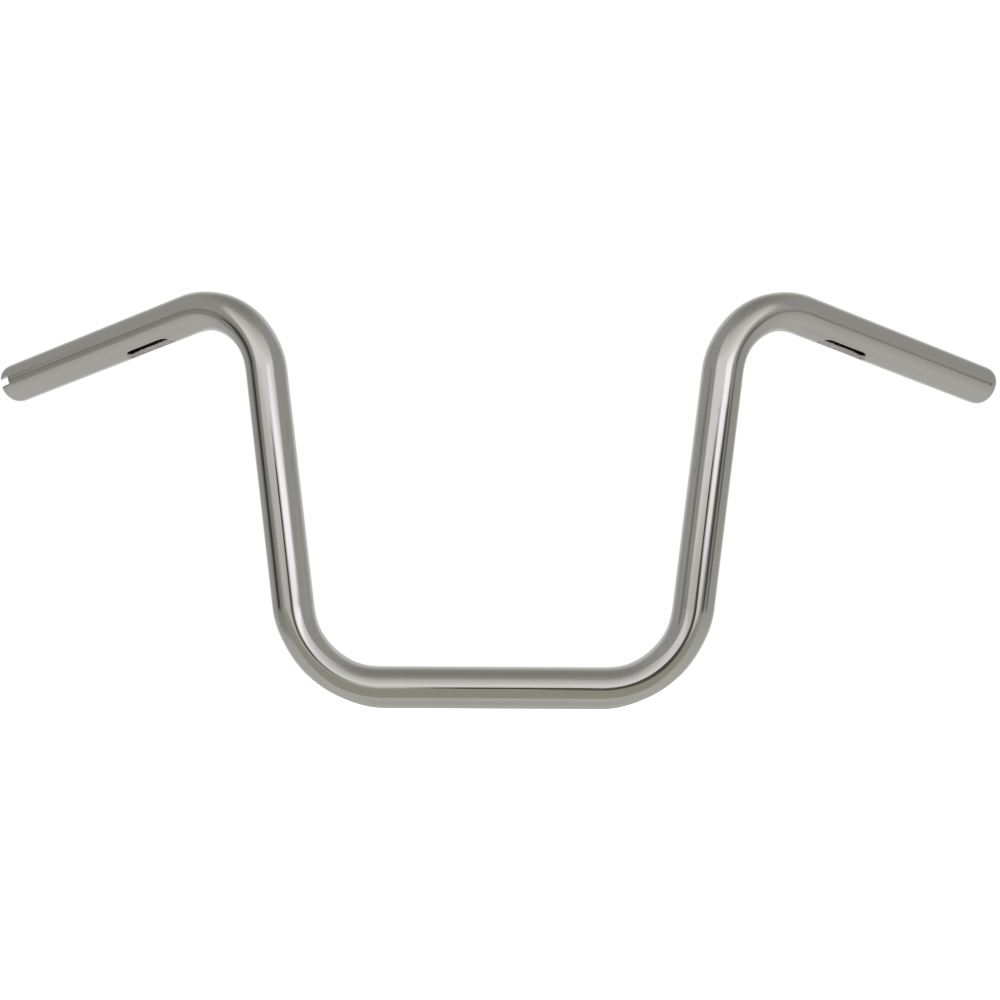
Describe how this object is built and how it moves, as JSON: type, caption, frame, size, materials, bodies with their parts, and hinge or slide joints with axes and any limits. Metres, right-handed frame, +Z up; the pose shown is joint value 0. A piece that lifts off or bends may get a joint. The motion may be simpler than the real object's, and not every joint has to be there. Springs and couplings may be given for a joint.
{
  "type": "motorcycle handlebar",
  "caption": "Chrome-plated bent steel handlebar with splayed risers, swept-back grip ends and slots for internal wiring.",
  "frame": {"origin": "centre of the clamp section, on its centre line", "axes": "+X along the clamp section toward the clutch side, +Z up along the risers' plane, +Y back toward the rider"},
  "size_m": [0.669, 0.0981, 0.2607],
  "materials": {
    "chrome": "polished chrome plate on steel tube"
  },
  "bodies": {
    "root": {"clamp_section": "chrome", "throttle_lower_bend": "chrome", "throttle_riser": "chrome", "throttle_elbow": "chrome", "throttle_grip_tube": "chrome", "clutch_lower_bend": "chrome", "clutch_riser": "chrome", "clutch_elbow": "chrome", "clutch_grip_tube": "chrome"}
  },
  "joints": []
}
